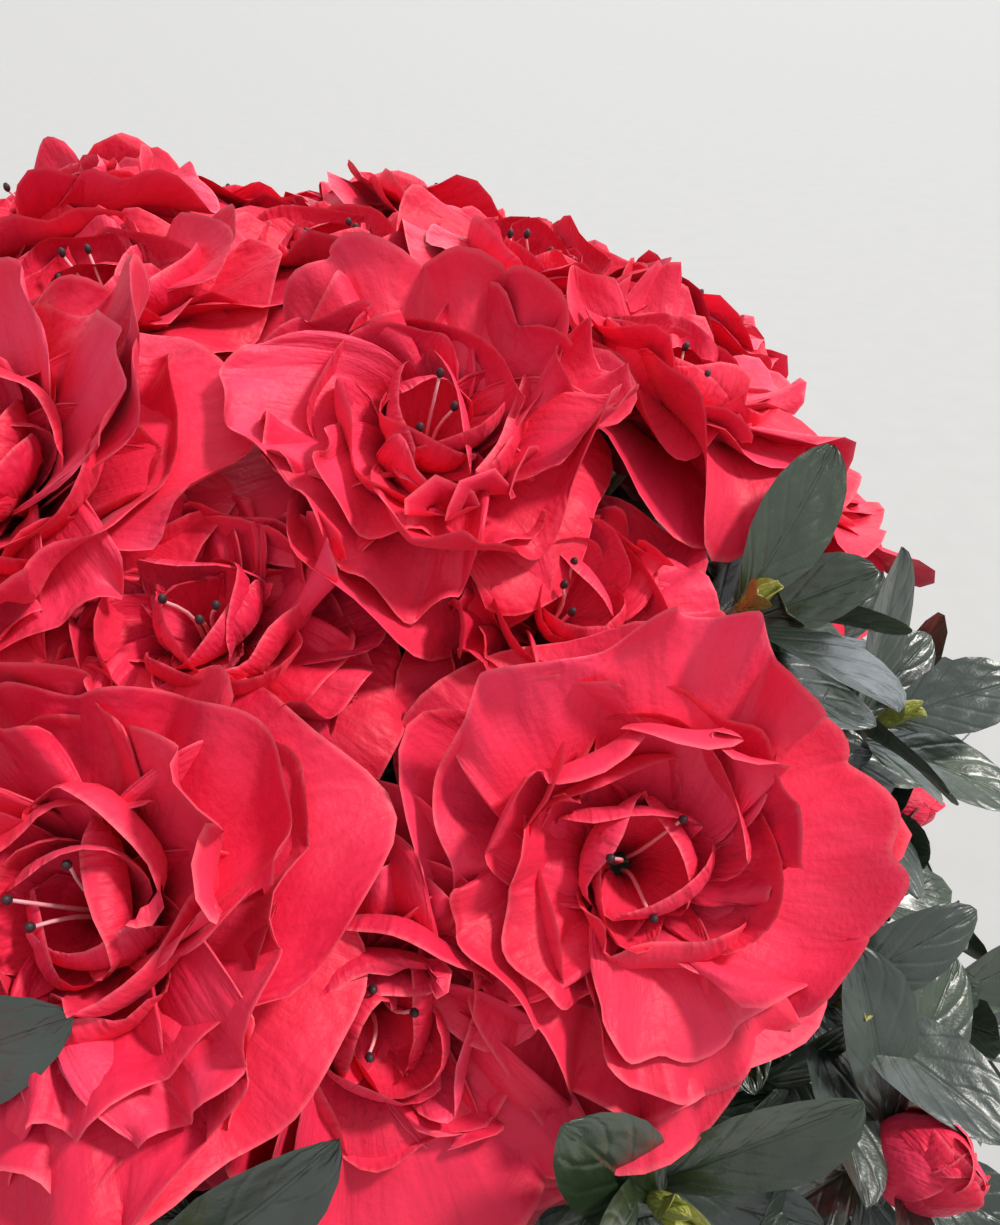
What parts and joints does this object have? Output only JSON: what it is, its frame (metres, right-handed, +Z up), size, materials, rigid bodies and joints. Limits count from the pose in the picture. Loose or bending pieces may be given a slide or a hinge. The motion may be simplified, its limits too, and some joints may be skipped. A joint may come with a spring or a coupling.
{
  "type": "azalea shrub",
  "caption": "Compact round evergreen azalea in full bloom, with double ruffled red blooms over a leafy skirt on a short flared trunk, rooted in the ground.",
  "frame": {"origin": "middle of the flat cut under the trunk, at ground level", "axes": "+Z up along the trunk; -Y is the side that the blooms of the front face"},
  "size_m": [0.4546, 0.4688, 0.3953],
  "materials": {
    "bark": "rough grey-brown bark",
    "leaves": "dark green, glossy above with a sunken midrib, paler below",
    "petals": "satin coral crimson with fine crinkles and a darker throat"
  },
  "bodies": {
    "root": {"trunk": "bark", "top_bough": "bark", "middle_1_bough": "bark", "middle_2_bough": "bark", "middle_3_bough": "bark", "middle_4_bough": "bark", "middle_5_bough": "bark", "middle_6_bough": "bark", "low_1_bough": "bark", "low_2_bough": "bark", "low_3_bough": "bark", "low_4_bough": "bark", "low_5_bough": "bark", "low_6_bough": "bark", "upper_1_bough": "bark", "upper_2_bough": "bark", "upper_3_bough": "bark", "upper_4_bough": "bark", "upper_5_bough": "bark", "top_mass": "petals", "middle_1_mass": "leaves", "middle_2_mass": "leaves", "middle_3_mass": "leaves", "middle_4_mass": "leaves", "middle_5_mass": "leaves", "middle_6_mass": "leaves", "low_1_mass": "leaves", "low_2_mass": "leaves", "low_3_mass": "leaves", "low_4_mass": "leaves", "low_5_mass": "leaves", "low_6_mass": "leaves", "upper_1_mass": "petals", "upper_2_mass": "petals", "upper_3_mass": "petals", "upper_4_mass": "petals", "upper_5_mass": "petals"}
  },
  "joints": []
}
